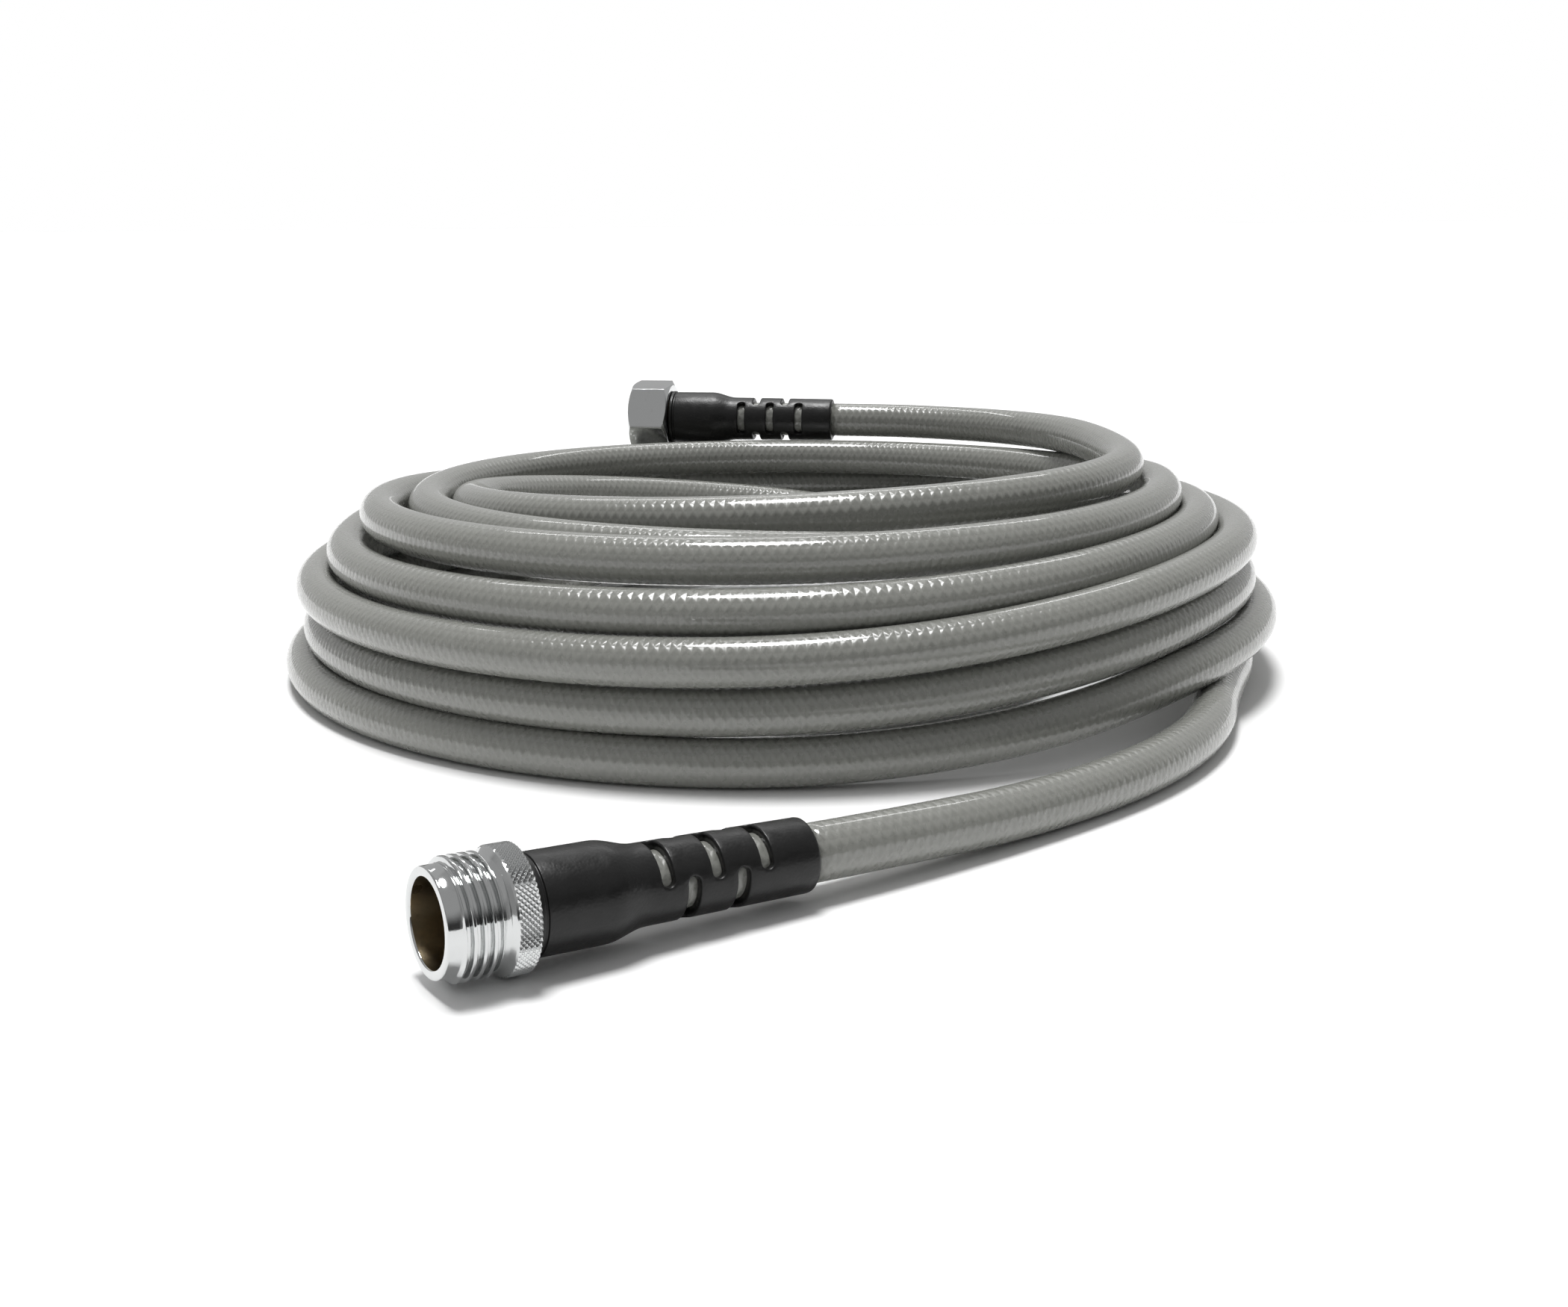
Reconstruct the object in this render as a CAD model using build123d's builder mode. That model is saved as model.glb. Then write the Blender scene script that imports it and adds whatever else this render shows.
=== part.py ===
"""A coiled drinking-water hose with a threaded coupling on each end.

The hose lies on the floor as a loose coil. Its male end lies in front of the coil on
the floor, and its female end, with a swivel nut, rests on the back of the coil.
Millimetres, +Z up. The origin is on the floor, under the middle of the whole hose.
"""

import os
from math import cos, pi, radians, sin, tan

from build123d import *

os.makedirs("parts", exist_ok=True)

# Hose
HOSE_RADIUS = 7.15
LINER_BORE_RADIUS = 4.75
LINER_RADIUS = 5.8
BRAID_RADIUS = 6.2

# Garden hose thread, 3/4 - 11.5
THREAD_PITCH = 25.4 / 11.5
MALE_MAJOR_RADIUS = 13.5
MALE_MINOR_RADIUS = 12.05
FEMALE_MINOR_RADIUS = 12.2
FEMALE_MAJOR_RADIUS = 13.6
CREST_WIDTH = THREAD_PITCH / 4
ROOT_WIDTH = THREAD_PITCH / 6
THREAD_OVERCUT = 0.1  # how far a groove's cutter stands past the crest, as a share of its depth

# Male coupling, measured along its axis from the lip
PILOT_LENGTH = 3.2
MALE_GROOVES = 3
UNDERCUT_START = 12.3
UNDERCUT_SLOPE = 0.4  # length of the step down from the last thread
NECK_RADIUS = 12.6
SHOULDER_START = 13.5
COLLAR_START = 14.9
COLLAR_END = 20.3
COLLAR_RADIUS = 14.25
WATERWAY_RADIUS = 9.8
WATERWAY_DEPTH = 15.5
WATERWAY_CONE = 3.0  # length of the cone from the waterway down to the shank's bore
EDGE = 0.5  # small chamfers and lips

# Parts that both ends share
SHANK_RADIUS = 4.65
SHANK_BORE_RADIUS = 3.7
SHANK_LENGTH = 20.0
BARB_LENGTH = 4.0
BARB_DEPTH = 0.35
BOSS_RADIUS = 9.3
BOSS_LENGTH = 1.6
FERRULE_RADIUS = 8.9
FERRULE_LENGTH = 18.0
CRIMP_DEPTH = 0.5
CRIMP_WIDTH = 2.2
CRIMPS = 3

# Strain relief, measured from its fitting end
RELIEF_LENGTH = 72.0
RELIEF_BIG_RADIUS = 11.5
RELIEF_BEAD_RADIUS = 11.9
RELIEF_BEAD_LENGTH = 1.3
RELIEF_GROOVE_LENGTH = 0.8
RELIEF_TAPER_START = 20.0
RELIEF_TAPER_END = 27.5
RELIEF_SLIM_RADIUS = 9.35
RELIEF_TIP_RADIUS = 9.0
RELIEF_ROUNDING = 1.6
RELIEF_CAVITY_RADIUS = 9.5
RELIEF_CAVITY_LENGTH = 22.0
RELIEF_CAVITY_CONE = 2.0
SLOT_WIDTH = 3.2
SLOT_ARC = 100.0
SLOT_END_ARC = 20.0  # the arc that the two round ends take
FIRST_SLOT = 32.0
SLOT_PITCH = 6.4
SLOT_RINGS = 5
# How far round the first slot's middle is from the side towards the viewer, downwards
MALE_SLOT_TURN = -60.0
FEMALE_SLOT_TURN = -8.0

# Swivel nut, measured from its open face
NUT_LENGTH = 17.5
NUT_FLATS = 30.2
NUT_CORNER_RADIUS = NUT_FLATS / 2 / cos(radians(30))
NUT_CHAMFER = 1.6
NUT_FACE_RADIUS = NUT_CORNER_RADIUS - NUT_CHAMFER * 1.7
NUT_GROOVES = 4
NUT_MOUTH_DEPTH = 1.2
NUT_THREAD_END = 11.2
NUT_WALL_START = 15.4
NUT_HOLE_RADIUS = 8.6
NUT_TURN = 8.0
WASHER_START = 11.6
WASHER_THICKNESS = 2.5
WASHER_RADIUS = 12.8
WASHER_HOLE_RADIUS = 8.0
RUNNING_GAP = 0.07
STEM_FLANGE_RADIUS = 12.9
STEM_NECK_RADIUS = NUT_HOLE_RADIUS - RUNNING_GAP
STEM_MOUTH_RADIUS = SHANK_BORE_RADIUS + 2
STEM_MOUTH_LENGTH = 3.0
RELIEF_GAP = 0.3  # between the nut's back and the strain relief

# Where the two ends lie: the lip or the open face, and the way from there to the hose
MALE_LIP = Vector(-72.5, -236.7, 15.0)
MALE_HEADING = 32.5
MALE_DIP = 2.4
FEMALE_FACE = Vector(-64.1, 223.7, 69.2)
FEMALE_HEADING = -10.0

# The hose's free stretches: a straight run out of the strain relief's mouth, and then
# the corners of the route
FIRST_RUN = 25.0
FRONT_ROUTE = [
    (68.0, -142.6, 7.15),
    (104.5, -108.6, 7.15),
    (128.8, -71.0, 7.15),
    (141.0, -29.0, 7.15),
]
BACK_ROUTE = [
    (73.8, 191.5, 69.2),
    (94.6, 172.8, 69.7),
    (110.9, 147.6, 70.4),
    (120.8, 117.2, 71.0),
]

# The coil's outer shape, as radius and height round its centre
COIL_CENTRE = (0.0, 65.0)
COIL_OUTLINE = [
    (101.0, 0.0),
    (176.0, 0.0),
    (181.0, 9.0),
    (181.0, 26.0),
    (173.0, 50.0),
    (151.0, 68.0),
    (129.0, 77.5),
    (116.0, 77.5),
    (101.0, 66.0),
]
RESTING_GAP = 0.8  # round the female end, where it rests in the coil


def heading(turn, dip=0.0):
    """Unit vector from a turn about Z and a dip below the level, in degrees."""
    level = cos(radians(dip))
    return Vector(
        cos(radians(turn)) * level, sin(radians(turn)) * level, -sin(radians(dip))
    )


def section(start, way):
    """A plane through an end's axis: X is the radius, towards the viewer, and Y runs along the axis."""
    side = way.cross(Vector(0, 0, 1)).normalized()
    return Plane(origin=start, x_dir=side, z_dir=side.cross(way))


def across(start, way, distance, turn=0.0):
    """A plane across an end's axis. Its X is the same side as section()'s, turned downwards."""
    side = way.cross(Vector(0, 0, 1)).normalized()
    turned_side = side * cos(radians(turn)) + way.cross(side) * sin(radians(turn))
    return Plane(origin=start + way * distance, x_dir=turned_side, z_dir=way)


MALE_WAY = heading(MALE_HEADING, MALE_DIP)
MALE_SECTION = section(MALE_LIP, MALE_WAY)
MALE_AXIS = Axis(MALE_LIP, MALE_WAY)
MALE_RELIEF_START = COLLAR_END + RELIEF_GAP

FEMALE_WAY = heading(FEMALE_HEADING)
FEMALE_SECTION = section(FEMALE_FACE, FEMALE_WAY)
FEMALE_AXIS = Axis(FEMALE_FACE, FEMALE_WAY)
FEMALE_RELIEF_START = NUT_LENGTH + RELIEF_GAP


def turned(plane, axis, outline, mode=Mode.ADD):
    """Adds or removes the solid that an outline of (radius, distance) makes round an axis."""
    with BuildSketch(plane) as profile:
        with BuildLine():
            Polyline(*outline, close=True)
        make_face()
    revolve(profile.sketch, axis=axis, mode=mode)


def thread_groove(plane, axis, crest_radius, root_radius, middle):
    """Cuts one thread groove. The crest is the side that it opens to."""
    past_crest = crest_radius + (crest_radius - root_radius) * THREAD_OVERCUT
    half_mouth = (THREAD_PITCH - CREST_WIDTH) / 2
    half_root = ROOT_WIDTH / 2
    outline = [
        (past_crest, middle - half_mouth),
        (past_crest, middle + half_mouth),
        (root_radius, middle + half_root),
        (root_radius, middle - half_root),
    ]
    turned(plane, axis, outline, Mode.SUBTRACT)


def shank(plane, axis, start):
    """Adds the barbed tube that goes into the hose's bore."""
    outline = [(SHANK_BORE_RADIUS, start)]
    outline.append((SHANK_RADIUS, start))
    for barb in range(int(SHANK_LENGTH / BARB_LENGTH)):
        foot = start + barb * BARB_LENGTH
        outline.append((SHANK_RADIUS, foot + BARB_LENGTH * 0.2))
        outline.append((SHANK_RADIUS - BARB_DEPTH, foot + BARB_LENGTH * 0.9))
    outline.append((SHANK_RADIUS - BARB_DEPTH, start + SHANK_LENGTH))
    outline.append((SHANK_BORE_RADIUS, start + SHANK_LENGTH))
    turned(plane, axis, outline)


def layer(plane, axis, start, end, inner, outer):
    """Adds one layer of the hose's wall."""
    turned(plane, axis, [(inner, start), (outer, start), (outer, end), (inner, end)])


def ferrule(plane, axis, start):
    """Adds the shell that is crimped round the hose and the shank."""
    wall = [
        (HOSE_RADIUS, start),
        (FERRULE_RADIUS - EDGE, start),
        (FERRULE_RADIUS, start + EDGE),
        (FERRULE_RADIUS, start + FERRULE_LENGTH - EDGE),
        (FERRULE_RADIUS - EDGE, start + FERRULE_LENGTH),
        (HOSE_RADIUS, start + FERRULE_LENGTH),
    ]
    turned(plane, axis, wall)
    for crimp in range(CRIMPS):
        low = start + FERRULE_LENGTH * (crimp + 0.75) / (CRIMPS + 0.5)
        groove = [
            (FERRULE_RADIUS - CRIMP_DEPTH, low),
            (FERRULE_RADIUS + CRIMP_DEPTH, low),
            (FERRULE_RADIUS + CRIMP_DEPTH, low + CRIMP_WIDTH),
            (FERRULE_RADIUS - CRIMP_DEPTH, low + CRIMP_WIDTH),
        ]
        turned(plane, axis, groove, Mode.SUBTRACT)


def strain_relief(start, way, plane, axis, offset, first_turn):
    """Adds the slotted sleeve that begins offset along the axis."""
    groove_start = offset + RELIEF_BEAD_LENGTH
    groove_end = groove_start + RELIEF_GROOVE_LENGTH
    tip = offset + RELIEF_LENGTH
    wall = [
        (RELIEF_CAVITY_RADIUS, offset),
        (RELIEF_BEAD_RADIUS, offset),
        (RELIEF_BEAD_RADIUS, groove_start),
        (RELIEF_BIG_RADIUS - EDGE, groove_start),
        (RELIEF_BIG_RADIUS - EDGE, groove_end),
        (RELIEF_BIG_RADIUS, groove_end),
        (RELIEF_BIG_RADIUS, offset + RELIEF_TAPER_START),
        (RELIEF_SLIM_RADIUS, offset + RELIEF_TAPER_END),
        (RELIEF_TIP_RADIUS, tip - RELIEF_ROUNDING * 1.5),
        (RELIEF_TIP_RADIUS - RELIEF_ROUNDING * 0.3, tip - RELIEF_ROUNDING * 0.5),
        (RELIEF_TIP_RADIUS - RELIEF_ROUNDING, tip),
        (HOSE_RADIUS, tip),
        (HOSE_RADIUS, offset + RELIEF_CAVITY_LENGTH + RELIEF_CAVITY_CONE),
        (RELIEF_CAVITY_RADIUS, offset + RELIEF_CAVITY_LENGTH),
    ]
    turned(plane, axis, wall)
    for ring in range(SLOT_RINGS):
        middle = offset + FIRST_SLOT + ring * SLOT_PITCH
        for half in range(2):
            slot(start, way, middle, first_turn + ring * 90 + half * 180)


def slot(start, way, middle, turn):
    """Cuts one slot with round ends through the sleeve's wall."""
    reach = 2 * RELIEF_BIG_RADIUS
    half = (SLOT_ARC - SLOT_END_ARC) / 2
    wedge = [(0, 0)]
    for bend in (-half, -half / 3, half / 3, half):
        wedge.append((reach * cos(radians(bend)), reach * sin(radians(bend))))
    with BuildSketch(across(start, way, middle - SLOT_WIDTH / 2, turn)) as gap:
        with BuildLine():
            Polyline(*wedge, close=True)
        make_face()
    extrude(gap.sketch, amount=SLOT_WIDTH, mode=Mode.SUBTRACT)
    for end in (turn - half, turn + half):
        radial = across(start, way, middle, end)
        with BuildSketch(Plane(radial.origin, x_dir=way, z_dir=radial.x_dir)) as tip:
            Circle(SLOT_WIDTH / 2)
        extrude(tip.sketch, amount=reach, mode=Mode.SUBTRACT)


def route_path(points):
    """A path of straight runs and tangent arcs, each arc as large as its runs allow."""
    corners = [Vector(*point) for point in points]
    radii = []
    for before, here, after in zip(corners, corners[1:], corners[2:]):
        first = here - before
        second = after - here
        half_turn = radians(first.get_angle(second)) / 2
        radii.append(0.45 * min(first.length, second.length) / tan(half_turn))
    print("arc radii", [round(radius) for radius in radii])
    return FilletPolyline(*corners, radius=radii)


def hose_tube(points):
    """Adds the hose along a free stretch, and compares its volume with section times length."""
    with BuildLine():
        path = route_path(points)
    with BuildSketch(Plane(path @ 0, z_dir=path % 0)) as ring:
        Circle(HOSE_RADIUS)
    sweep(ring.sketch, path=path)
    return path.length


# Male coupling: lip, threads, neck, knurled collar, boss and shank in one brass piece
with BuildPart() as male_coupling:
    turned(
        MALE_SECTION,
        MALE_AXIS,
        [
            (WATERWAY_RADIUS, 0),
            (MALE_MINOR_RADIUS - EDGE, 0),
            (MALE_MINOR_RADIUS, EDGE),
            (MALE_MINOR_RADIUS, PILOT_LENGTH - EDGE),
            (MALE_MAJOR_RADIUS, PILOT_LENGTH + EDGE),
            (MALE_MAJOR_RADIUS, UNDERCUT_START),
            (NECK_RADIUS, UNDERCUT_START + UNDERCUT_SLOPE),
            (NECK_RADIUS, SHOULDER_START),
            (COLLAR_RADIUS - EDGE, COLLAR_START - EDGE),
            (COLLAR_RADIUS, COLLAR_START),
            (COLLAR_RADIUS, COLLAR_END - EDGE),
            (COLLAR_RADIUS - EDGE, COLLAR_END),
            (BOSS_RADIUS, COLLAR_END),
            (BOSS_RADIUS, COLLAR_END + BOSS_LENGTH),
            (SHANK_BORE_RADIUS, COLLAR_END + BOSS_LENGTH),
            (SHANK_BORE_RADIUS, WATERWAY_DEPTH + WATERWAY_CONE),
            (WATERWAY_RADIUS, WATERWAY_DEPTH),
        ],
    )
    for thread in range(MALE_GROOVES):
        groove = PILOT_LENGTH + EDGE + CREST_WIDTH + (thread + 0.5) * THREAD_PITCH
        thread_groove(MALE_SECTION, MALE_AXIS, MALE_MAJOR_RADIUS, MALE_MINOR_RADIUS, groove)
    shank(MALE_SECTION, MALE_AXIS, COLLAR_END + BOSS_LENGTH)

MALE_HOSE_START = COLLAR_END + BOSS_LENGTH
MALE_MOUTH = MALE_RELIEF_START + RELIEF_LENGTH

with BuildPart() as male_ferrule:
    ferrule(MALE_SECTION, MALE_AXIS, MALE_HOSE_START)

with BuildPart() as male_strain_relief:
    strain_relief(
        MALE_LIP, MALE_WAY, MALE_SECTION, MALE_AXIS, MALE_RELIEF_START, MALE_SLOT_TURN
    )

# Swivel nut, its washer, and the stem that it turns on
with BuildPart() as swivel_nut:
    with BuildSketch(across(FEMALE_FACE, FEMALE_WAY, 0, NUT_TURN)):
        RegularPolygon(radius=NUT_FLATS / 2, side_count=6, major_radius=False)
    extrude(amount=NUT_LENGTH)
    turned(
        FEMALE_SECTION,
        FEMALE_AXIS,
        [
            (0, 0),
            (NUT_FACE_RADIUS, 0),
            (NUT_CORNER_RADIUS, NUT_CHAMFER),
            (NUT_CORNER_RADIUS, NUT_LENGTH - NUT_CHAMFER),
            (NUT_FACE_RADIUS, NUT_LENGTH),
            (0, NUT_LENGTH),
        ],
        Mode.INTERSECT,
    )
    turned(
        FEMALE_SECTION,
        FEMALE_AXIS,
        [
            (0, 0),
            (FEMALE_MAJOR_RADIUS, 0),
            (FEMALE_MINOR_RADIUS, NUT_MOUTH_DEPTH),
            (FEMALE_MINOR_RADIUS, NUT_THREAD_END),
            (FEMALE_MAJOR_RADIUS, NUT_THREAD_END + EDGE),
            (FEMALE_MAJOR_RADIUS, NUT_WALL_START),
            (NUT_HOLE_RADIUS, NUT_WALL_START),
            (NUT_HOLE_RADIUS, NUT_LENGTH),
            (0, NUT_LENGTH),
        ],
        Mode.SUBTRACT,
    )
    for thread in range(NUT_GROOVES):
        groove = NUT_MOUTH_DEPTH + CREST_WIDTH + (thread + 0.5) * THREAD_PITCH
        thread_groove(
            FEMALE_SECTION, FEMALE_AXIS, FEMALE_MINOR_RADIUS, FEMALE_MAJOR_RADIUS, groove
        )

with BuildPart() as swivel_washer:
    layer(
        FEMALE_SECTION,
        FEMALE_AXIS,
        WASHER_START,
        WASHER_START + WASHER_THICKNESS,
        WASHER_HOLE_RADIUS,
        WASHER_RADIUS,
    )

FLANGE_START = WASHER_START + WASHER_THICKNESS + RUNNING_GAP
FLANGE_END = NUT_WALL_START - RUNNING_GAP
FEMALE_BOSS_START = NUT_LENGTH + RELIEF_GAP
FEMALE_HOSE_START = FEMALE_BOSS_START + BOSS_LENGTH
FEMALE_MOUTH = FEMALE_RELIEF_START + RELIEF_LENGTH

with BuildPart() as female_stem:
    turned(
        FEMALE_SECTION,
        FEMALE_AXIS,
        [
            (STEM_MOUTH_RADIUS, FLANGE_START),
            (STEM_FLANGE_RADIUS, FLANGE_START),
            (STEM_FLANGE_RADIUS, FLANGE_END),
            (STEM_NECK_RADIUS, FLANGE_END),
            (STEM_NECK_RADIUS, FEMALE_BOSS_START),
            (BOSS_RADIUS, FEMALE_BOSS_START),
            (BOSS_RADIUS, FEMALE_HOSE_START),
            (SHANK_BORE_RADIUS, FEMALE_HOSE_START),
            (SHANK_BORE_RADIUS, FLANGE_START + STEM_MOUTH_LENGTH),
        ],
    )
    shank(FEMALE_SECTION, FEMALE_AXIS, FEMALE_HOSE_START)

with BuildPart() as female_ferrule:
    ferrule(FEMALE_SECTION, FEMALE_AXIS, FEMALE_HOSE_START)

with BuildPart() as female_strain_relief:
    strain_relief(
        FEMALE_FACE,
        FEMALE_WAY,
        FEMALE_SECTION,
        FEMALE_AXIS,
        FEMALE_RELIEF_START,
        FEMALE_SLOT_TURN,
    )

# The hose's wall where the fittings hold it: liner, braid and cover
HOSE_ENDS = {
    "male": (MALE_SECTION, MALE_AXIS, MALE_HOSE_START, MALE_MOUTH),
    "female": (FEMALE_SECTION, FEMALE_AXIS, FEMALE_HOSE_START, FEMALE_MOUTH),
}
LAYERS = {
    "liner": (LINER_BORE_RADIUS, LINER_RADIUS),
    "braid": (LINER_RADIUS, BRAID_RADIUS),
    "cover": (BRAID_RADIUS, HOSE_RADIUS),
}
hose_wall = {}
for end, (plane, axis, first, last) in HOSE_ENDS.items():
    for name, (inner, outer) in LAYERS.items():
        with BuildPart() as hose_layer:
            layer(plane, axis, first, last, inner, outer)
        hose_wall[f"hose_{name}_{end}"] = hose_layer

# The hose's free stretches
male_mouth = MALE_LIP + MALE_WAY * MALE_MOUTH
female_mouth = FEMALE_FACE + FEMALE_WAY * FEMALE_MOUTH

with BuildPart() as hose_tail_front:
    front_start = [male_mouth, male_mouth + MALE_WAY * FIRST_RUN]
    front_length = hose_tube([*front_start, *FRONT_ROUTE])

with BuildPart() as hose_tail_back:
    back_start = [female_mouth, female_mouth + FEMALE_WAY * FIRST_RUN]
    back_length = hose_tube([*back_start, *BACK_ROUTE])

# The coil's outer shape, open in the middle, with a trough where the female end rests
with BuildPart() as hose_coil:
    with BuildSketch(Plane((*COIL_CENTRE, 0), x_dir=(1, 0, 0), z_dir=(0, -1, 0))):
        with BuildLine():
            Polyline(*COIL_OUTLINE, close=True)
        make_face()
    revolve(axis=Axis((*COIL_CENTRE, 0), (0, 0, 1)))
    with BuildSketch(across(FEMALE_FACE, FEMALE_WAY, -RESTING_GAP * 2)):
        Circle(NUT_CORNER_RADIUS + RESTING_GAP)
    extrude(amount=FEMALE_MOUTH + RESTING_GAP * 2, mode=Mode.SUBTRACT)

for name, tube, length in (
    ("front", hose_tail_front, front_length),
    ("back", hose_tail_back, back_length),
):
    expected = pi * HOSE_RADIUS**2 * length
    print(name, "length", round(length, 1), "volume ratio", tube.part.volume / expected)

NODES = {
    "male_coupling": male_coupling,
    "male_ferrule": male_ferrule,
    "male_strain_relief": male_strain_relief,
    "swivel_nut": swivel_nut,
    "swivel_washer": swivel_washer,
    "female_stem": female_stem,
    "female_ferrule": female_ferrule,
    "female_strain_relief": female_strain_relief,
    "hose_tail_front": hose_tail_front,
    "hose_tail_back": hose_tail_back,
    "hose_coil": hose_coil,
    **hose_wall,
}
for name, node in NODES.items():
    node.part.label = name
    export_step(node.part, f"parts/{name}.step")
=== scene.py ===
"""Looks for the coiled water hose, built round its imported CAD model.

The hose is one continuous tube from the male end, in front on the floor, through the
turns of a loose coil to the female end, which rests on the coil's back. Lengths are in
millimetres until a mesh is made, and meshes are in metres.
"""

from math import atan2, ceil, cos, hypot, pi, radians, sin, sqrt, tan

import bmesh
import bpy
import numpy as np
from mathutils import Matrix, Vector
from mathutils.geometry import delaunay_2d_cdt


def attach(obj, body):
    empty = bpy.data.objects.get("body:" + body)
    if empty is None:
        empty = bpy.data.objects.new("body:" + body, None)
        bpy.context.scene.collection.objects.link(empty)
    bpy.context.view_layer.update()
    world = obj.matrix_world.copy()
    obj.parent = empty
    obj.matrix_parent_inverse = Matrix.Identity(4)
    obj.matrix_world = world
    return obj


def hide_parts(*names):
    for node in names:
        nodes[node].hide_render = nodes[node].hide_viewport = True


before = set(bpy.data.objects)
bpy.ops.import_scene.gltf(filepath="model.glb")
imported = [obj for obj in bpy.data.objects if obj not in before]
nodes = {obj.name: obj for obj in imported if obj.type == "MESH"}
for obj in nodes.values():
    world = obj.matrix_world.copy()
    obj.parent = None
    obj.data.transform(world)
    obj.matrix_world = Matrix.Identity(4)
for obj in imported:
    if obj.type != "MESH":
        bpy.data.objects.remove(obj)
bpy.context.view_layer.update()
MM = 0.001

# Hose
HOSE_RADIUS = 7.15
HOSE_SIDES = 32
BRAID_PITCH = 3.05  # between two parallel yarns, along the hose
BRAID_STARTS = 9  # yarns each way round
COVER_INNER_RADIUS = 6.2

# Where the two ends lie
MALE_LIP = Vector((-72.5, -236.7, 15.0))
MALE_HEADING = 32.5
MALE_DIP = 2.4
FEMALE_FACE = Vector((-64.1, 223.7, 69.2))
FEMALE_HEADING = -10.0
FIRST_RUN = 25.0

# Male coupling, measured along its axis from the lip
THREAD_PITCH = 25.4 / 11.5
MALE_MAJOR_RADIUS = 13.5
MALE_MINOR_RADIUS = 12.05
PILOT_LENGTH = 3.2
THREAD_END = 12.6
NECK_RADIUS = 12.6
SHOULDER_START = 13.5
COLLAR_START = 14.9
COLLAR_END = 20.3
COLLAR_RADIUS = 14.25
KNURL_DEPTH = 0.4
KNURL_ROWS = 9
LIP_ROUNDING = 0.45
NECK_ROUNDING = 0.3
BACK_ROUNDING = 0.25
WATERWAY_RADIUS = 9.8
WATERWAY_DEPTH = 15.5
BOSS_RADIUS = 9.3
BOSS_LENGTH = 1.6
SHANK_RADIUS = 4.65
SHANK_BORE_RADIUS = 3.7
SHANK_LENGTH = 20.0
ROUND = 128  # points round the turned metal pieces, two for each of the knurl's diamonds

# Swivel nut, measured from its open face
NUT_LENGTH = 17.5
NUT_FLATS = 30.2
NUT_CHAMFER = 1.6
NUT_CORNER_ROUNDING = 0.9
NUT_TURN = 8.0
FEMALE_MINOR_RADIUS = 12.2
FEMALE_MAJOR_RADIUS = 13.6
NUT_MOUTH_DEPTH = 1.2
NUT_THREAD_END = 11.2
NUT_WALL_START = 15.4
NUT_HOLE_RADIUS = 8.6
NUT_FACE_ROUNDING = 0.15
NUT_INSIDE_ROUNDING = 0.2

# Strain relief, measured from its fitting end
RELIEF_GAP = 0.3
RELIEF_LENGTH = 72.0
RELIEF_BEAD_RADIUS = 11.9
RELIEF_BEAD_LENGTH = 1.3
RELIEF_GROOVE_LENGTH = 0.8
RELIEF_BIG_RADIUS = 11.5
RELIEF_TAPER_START = 20.0
RELIEF_TAPER_END = 27.5
RELIEF_SLIM_RADIUS = 9.35
RELIEF_TIP_RADIUS = 9.0
RELIEF_ROUNDING = 1.6
RELIEF_CAVITY_RADIUS = 9.5
RELIEF_CAVITY_LENGTH = 22.0
RELIEF_BORE_RADIUS = 7.17
SLOT_WIDTH = 3.2
SLOT_HALF_ARC = 40.0  # to the middle of a slot's round end
FIRST_SLOT = 32.0
SLOT_PITCH = 6.4
SLOT_RINGS = 5
MALE_SLOT_TURN = -60.0
FEMALE_SLOT_TURN = -8.0
SLOT_EDGE = 0.42
RELIEF_COLUMNS = 96

# Camera and light
CAMERA_PLACE = (0.00194, -0.58086, 0.15623)
CAMERA_PITCH = 13.766
CAMERA_ROLL = 0.4325
CAMERA_LENS = 40.85


def heading(turn, dip=0.0):
    """Unit vector from a turn about Z and a dip below the level, in degrees."""
    level = cos(radians(dip))
    return Vector(
        (cos(radians(turn)) * level, sin(radians(turn)) * level, -sin(radians(dip)))
    )


def end_matrix(start, way):
    """From an end's own axes in millimetres to the frame: X to the side, Y down, Z along."""
    side = way.cross(Vector((0, 0, 1))).normalized()
    axes = Matrix((side, way.cross(side), way)).transposed().to_4x4()
    return Matrix.Scale(MM, 4) @ Matrix.Translation(start) @ axes


MALE_WAY = heading(MALE_HEADING, MALE_DIP)
FEMALE_WAY = heading(FEMALE_HEADING)
MALE_MATRIX = end_matrix(MALE_LIP, MALE_WAY)
FEMALE_MATRIX = end_matrix(FEMALE_FACE, FEMALE_WAY)
MALE_RELIEF_START = COLLAR_END + RELIEF_GAP
FEMALE_RELIEF_START = NUT_LENGTH + RELIEF_GAP
MALE_MOUTH = MALE_LIP + MALE_WAY * (MALE_RELIEF_START + RELIEF_LENGTH)
FEMALE_MOUTH = FEMALE_FACE + FEMALE_WAY * (FEMALE_RELIEF_START + RELIEF_LENGTH)


# ---------------------------------------------------------------- camera


def make_camera():
    data = bpy.data.cameras.new("camera")
    data.lens = CAMERA_LENS
    data.sensor_width = 36.0
    data.clip_start = 0.01
    camera = bpy.data.objects.new("camera", data)
    bpy.context.scene.collection.objects.link(camera)
    tilt = Matrix.Rotation(radians(90 - CAMERA_PITCH), 4, "X")
    roll = Matrix.Rotation(radians(-CAMERA_ROLL), 4, "Z")
    camera.matrix_world = Matrix.Translation(CAMERA_PLACE) @ tilt @ roll
    bpy.context.scene.camera = camera


# ---------------------------------------------------------------- mesh helpers


def finished(name, mesh, body, materials):
    """Links a mesh as a piece that rides on a body, with its materials."""
    piece = bpy.data.objects.new(name, mesh)
    bpy.context.scene.collection.objects.link(piece)
    for material in materials:
        mesh.materials.append(material)
    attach(piece, body)
    return piece


def smooth(mesh):
    mesh.polygons.foreach_set("use_smooth", [True] * len(mesh.polygons))


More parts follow.
